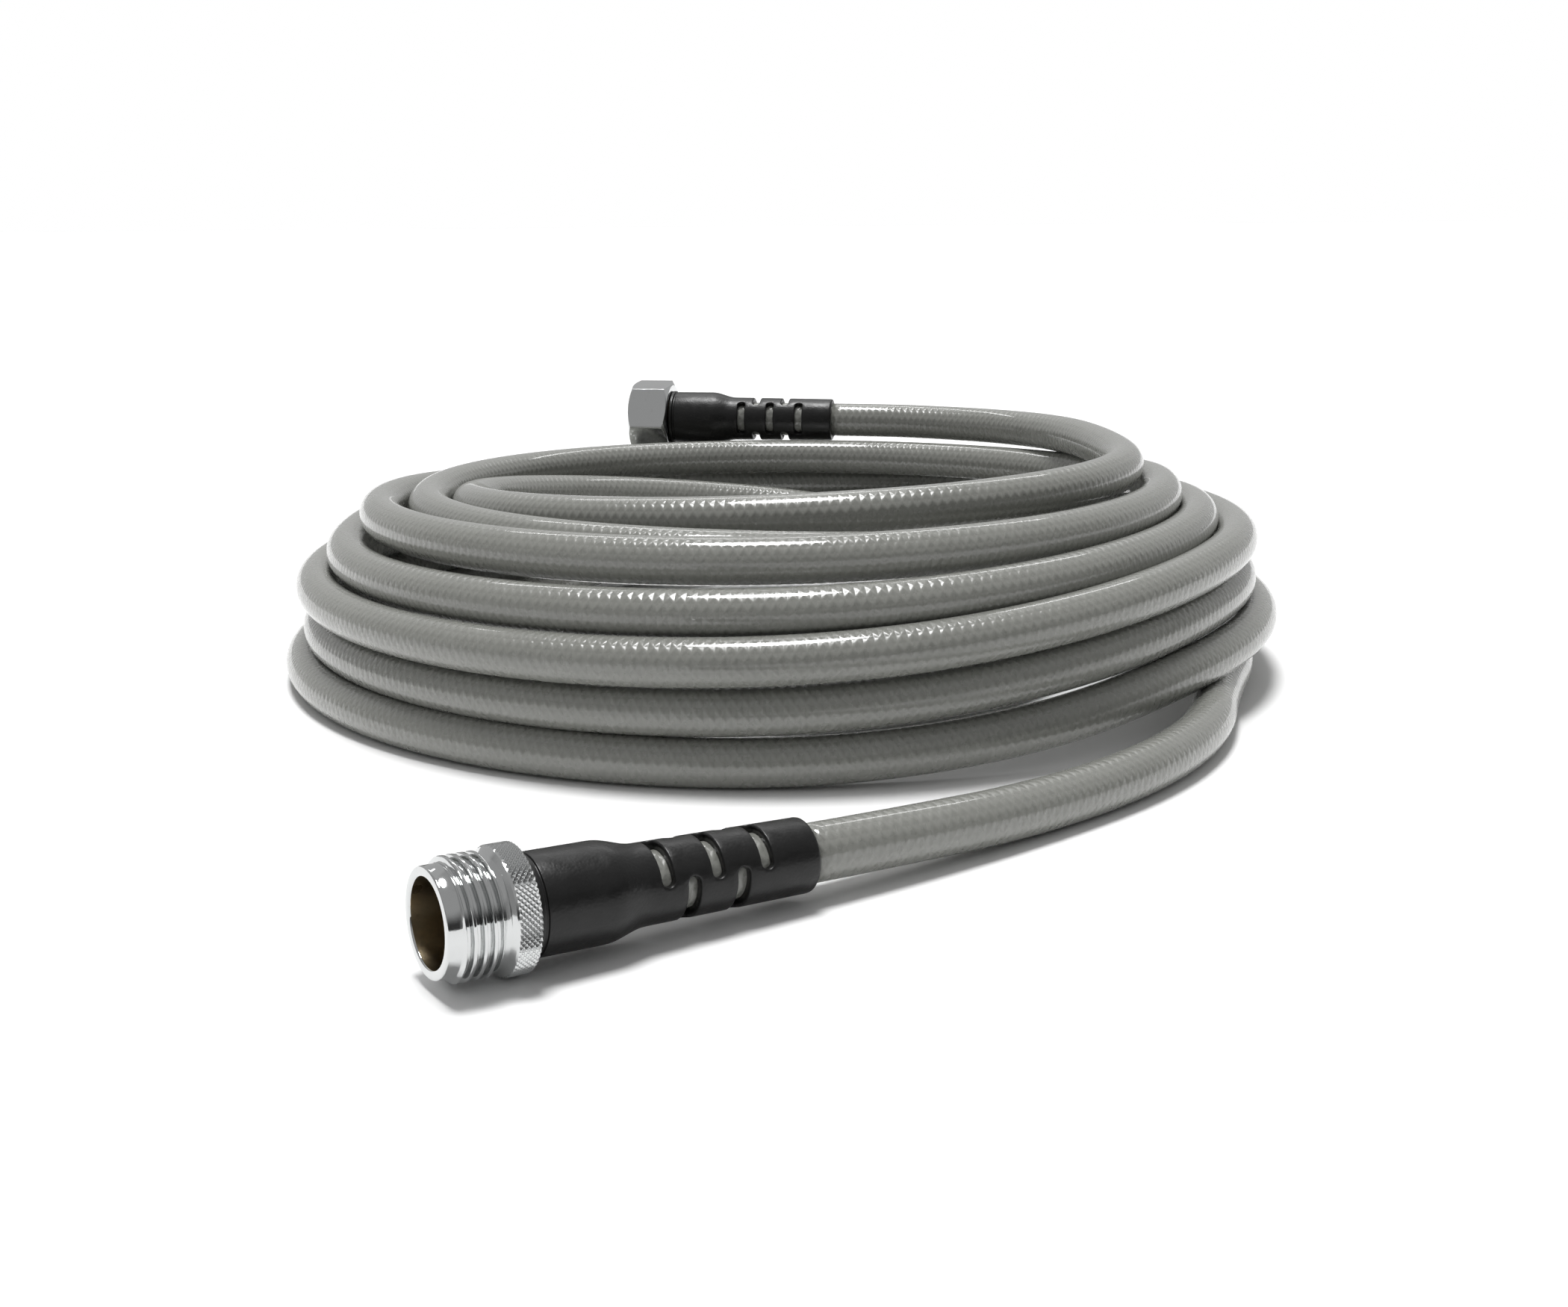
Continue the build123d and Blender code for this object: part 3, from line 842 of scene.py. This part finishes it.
def relief_mesh(name, matrix):
    """The slotted sleeve as one closed mesh, merged from bands of rings and slots."""
    shell = bmesh.new()

    def at(angle, radius, distance):
        place = (radius * cos(radians(angle)), radius * sin(radians(angle)), distance)
        return shell.verts.new(matrix @ Vector(place))

    def lathe(outline):
        angles = [i * 360 / RELIEF_COLUMNS for i in range(RELIEF_COLUMNS)]
        rings = [[at(a, r, z) for a in angles] for r, z in outline]
        for lower, upper in zip(rings, rings[1:]):
            for j in range(RELIEF_COLUMNS):
                k = (j + 1) % RELIEF_COLUMNS
                shell.faces.new((lower[j], lower[k], upper[k], upper[j]))

    slots_start = FIRST_SLOT - SLOT_PITCH / 2
    slots_end = FIRST_SLOT + (SLOT_RINGS - 0.5) * SLOT_PITCH
    groove = RELIEF_BEAD_LENGTH + RELIEF_GROOVE_LENGTH
    head = rounded(
        [
            (RELIEF_CAVITY_RADIUS, 4),
            (RELIEF_CAVITY_RADIUS, 0),
            (RELIEF_BEAD_RADIUS, 0),
            (RELIEF_BEAD_RADIUS, RELIEF_BEAD_LENGTH),
            (RELIEF_BIG_RADIUS - 0.4, RELIEF_BEAD_LENGTH + 0.1),
            (RELIEF_BIG_RADIUS - 0.4, groove),
            (RELIEF_BIG_RADIUS, groove + 0.1),
            (RELIEF_BIG_RADIUS, RELIEF_TAPER_START),
        ],
        NECK_ROUNDING,
    )
    # Long gentle bends at the taper, in place of the small corners
    taper = []
    for step in range(13):
        share = step / 12
        distance = RELIEF_TAPER_START - 2 + (RELIEF_TAPER_END + 1 - RELIEF_TAPER_START + 2) * share
        eased = share * share * (3 - 2 * share)
        radius = RELIEF_BIG_RADIUS + (relief_radius(RELIEF_TAPER_END) - RELIEF_BIG_RADIUS) * eased
        taper.append((radius, distance))
    lathe(
        [(RELIEF_BORE_RADIUS, slots_start)]
        + [
            (RELIEF_BORE_RADIUS, RELIEF_CAVITY_LENGTH + 2),
            (RELIEF_CAVITY_RADIUS, RELIEF_CAVITY_LENGTH),
        ]
        + head
        + [(RELIEF_BIG_RADIUS, 9.0), (RELIEF_BIG_RADIUS, 14.0)]
        + taper
        + [(relief_radius(slots_start), slots_start)]
    )
    tip = rounded(
        [
            (relief_radius(slots_end), slots_end),
            (RELIEF_TIP_RADIUS, RELIEF_LENGTH),
            (RELIEF_BORE_RADIUS, RELIEF_LENGTH),
        ],
        RELIEF_ROUNDING,
    )
    lathe(
        [(relief_radius(slots_end), slots_end), (relief_radius(64.0), 64.0)]
        + [(relief_radius(67.0), 67.0)]
        + tip
        + [(RELIEF_BORE_RADIUS + 0.5, RELIEF_LENGTH), (RELIEF_BORE_RADIUS, RELIEF_LENGTH - 0.3)]
        + [(RELIEF_BORE_RADIUS, slots_end)]
    )
    for ring in range(SLOT_RINGS):
        middle = FIRST_SLOT + ring * SLOT_PITCH
        spots, faces, centres, loop_size = slotted_band(middle, ring * 90)
        outer = [at(a, relief_radius(d), d) for a, d in spots]
        walls = [outer[: 2 * loop_size]]
        for out, sunk in ((SLOT_EDGE * 0.55, 0.06), (SLOT_EDGE * 0.2, 0.2), (0.0, 0.45)):
            loops = [slot_loop(middle, centre, out) for centre in centres]
            walls.append([at(a, relief_radius(d) - sunk, d) for a, d in sum(loops, [])])
        bottom = [slot_loop(middle, centre, 0.0) for centre in centres]
        inner = [at(a, RELIEF_BORE_RADIUS, d) for a, d in sum(bottom, [])]
        inner += [at(a, RELIEF_BORE_RADIUS, d) for a, d in spots[2 * loop_size :]]
        walls.append(inner[: 2 * loop_size])
        for face in faces:
            shell.faces.new([outer[i] for i in face])
            shell.faces.new([inner[i] for i in reversed(face)])
        for upper, lower in zip(walls, walls[1:]):
            for half in range(2):
                first = half * loop_size
                for i in range(loop_size):
                    a, b = first + i, first + (i + 1) % loop_size
                    shell.faces.new((upper[a], upper[b], lower[b], lower[a]))
    bmesh.ops.remove_doubles(shell, verts=shell.verts, dist=0.000002)
    bmesh.ops.recalc_face_normals(shell, faces=shell.faces)
    mesh = bpy.data.meshes.new(name)
    shell.to_mesh(mesh)
    shell.free()
    smooth(mesh)
    return mesh


def make_relief(name, matrix, start, first_turn, replaced):
    # The whole sleeve is turned, so that the slots' rings keep in step with its columns
    turn = Matrix.Rotation(radians(first_turn), 4, "Z")
    mesh = relief_mesh(name, matrix @ Matrix.Translation((0, 0, start)) @ turn)
    piece = finished(name, mesh, "hose", [BLACK_VINYL])
    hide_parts(replaced)
    return piece


# ---------------------------------------------------------------- CAD nodes that show


def dress_nodes():
    """Materials for the CAD nodes that stay, and small round edges on the turned ones."""
    finishes = {
        "male_ferrule": STEEL,
        "female_ferrule": STEEL,
        "female_stem": BRASS,
        "swivel_washer": RUBBER,
        "hose_liner_male": LINER,
        "hose_liner_female": LINER,
        "hose_braid_male": YARN,
        "hose_braid_female": YARN,
    }
    for name, finish in finishes.items():
        node = nodes[name]
        node.data.materials.clear()
        node.data.materials.append(finish)
    for name in ("swivel_washer", "female_stem"):
        bevel = nodes[name].modifiers.new("edges", "BEVEL")
        bevel.width = 0.2 * MM
        bevel.segments = 2
        bevel.limit_method = "ANGLE"
        bevel.angle_limit = radians(40)


# ---------------------------------------------------------------- room


def make_floor():
    mesh = bpy.data.meshes.new("floor")
    size = 30.0
    corners = [(-size, -size, 0), (size, -size, 0), (size, size, 0), (-size, size, 0)]
    mesh.from_pydata(corners, [], [(0, 1, 2, 3)])
    shader = Shader("floor", Roughness=0.7)
    shader.surface.inputs["Specular IOR Level"].default_value = 0.25
    patch = shader.noise(3.0)
    shader.link("Base Color", shader.mix(patch, grey(0.92), grey(0.9)))
    mesh.materials.append(shader.material)
    floor = bpy.data.objects.new("floor", mesh)
    bpy.context.scene.collection.objects.link(floor)


def softbox(name, place, target, width, depth, power):
    data = bpy.data.lights.new(name, "AREA")
    data.shape = "RECTANGLE"
    data.size = width
    data.size_y = depth
    data.energy = power
    lamp = bpy.data.objects.new(name, data)
    lamp.location = place
    way = Vector(target) - Vector(place)
    lamp.rotation_euler = way.to_track_quat("-Z", "Y").to_euler()
    bpy.context.scene.collection.objects.link(lamp)


def make_lights():
    sun = bpy.data.lights.new("overhead", "SUN")
    sun.energy = 3.0
    sun.angle = radians(19)
    lamp = bpy.data.objects.new("overhead", sun)
    lamp.rotation_euler = (radians(-7), radians(-3), 0)
    bpy.context.scene.collection.objects.link(lamp)
    softbox("behind", (0.0, 1.35, 1.35), (0.0, 0.0, 0.0), 1.6, 0.1, 4.0)
    world = bpy.data.worlds.new("studio")
    bpy.context.scene.world = world
    world.use_nodes = True
    tree = world.node_tree
    background = tree.nodes["Background"]
    background.inputs["Color"].default_value = (1.0, 1.0, 1.0, 1.0)
    spot = tree.nodes.new("ShaderNodeTexCoord")
    split = tree.nodes.new("ShaderNodeSeparateXYZ")
    tree.links.new(spot.outputs["Generated"], split.inputs[0])
    # Bright above and behind the object, dim on the left and dark on the right in front
    glows = (
        ("Y", 0.05, 0.5, 0.0, 0.5),
        ("Z", 0.15, 0.6, 0.04, 0.4),
        ("X", -0.35, 0.25, 0.32, 0.0),
    )
    strength = tree.nodes.new("ShaderNodeLightPath").outputs["Is Camera Ray"]
    for axis, low, high, dim, bright in glows:
        ramp = tree.nodes.new("ShaderNodeMapRange")
        ramp.interpolation_type = "SMOOTHSTEP"
        ramp.inputs["From Min"].default_value = low
        ramp.inputs["From Max"].default_value = high
        ramp.inputs["To Min"].default_value = dim
        ramp.inputs["To Max"].default_value = bright
        tree.links.new(split.outputs[axis], ramp.inputs["Value"])
        brighter = tree.nodes.new("ShaderNodeMath")
        brighter.operation = "MAXIMUM"
        tree.links.new(strength, brighter.inputs[0])
        tree.links.new(ramp.outputs["Result"], brighter.inputs[1])
        strength = brighter.outputs[0]
    tree.links.new(strength, background.inputs["Strength"])
    view = bpy.context.scene.view_settings
    view.view_transform = "Standard"
    view.look = "None"


# ---------------------------------------------------------------- everything

make_camera()
hose, path = make_hose()
make_hose_end(
    "cover_male",
    MALE_MATRIX,
    COLLAR_END + BOSS_LENGTH,
    MALE_RELIEF_START + RELIEF_LENGTH,
    "hose_cover_male",
)
make_hose_end(
    "cover_female",
    FEMALE_MATRIX,
    FEMALE_RELIEF_START + BOSS_LENGTH,
    FEMALE_RELIEF_START + RELIEF_LENGTH,
    "hose_cover_female",
)
male_fitting = make_male_coupling()
nut = make_nut()
male_sleeve = make_relief(
    "sleeve_male", MALE_MATRIX, MALE_RELIEF_START, MALE_SLOT_TURN, "male_strain_relief"
)
female_sleeve = make_relief(
    "sleeve_female",
    FEMALE_MATRIX,
    FEMALE_RELIEF_START,
    FEMALE_SLOT_TURN,
    "female_strain_relief",
)
dress_nodes()
make_floor()
make_lights()
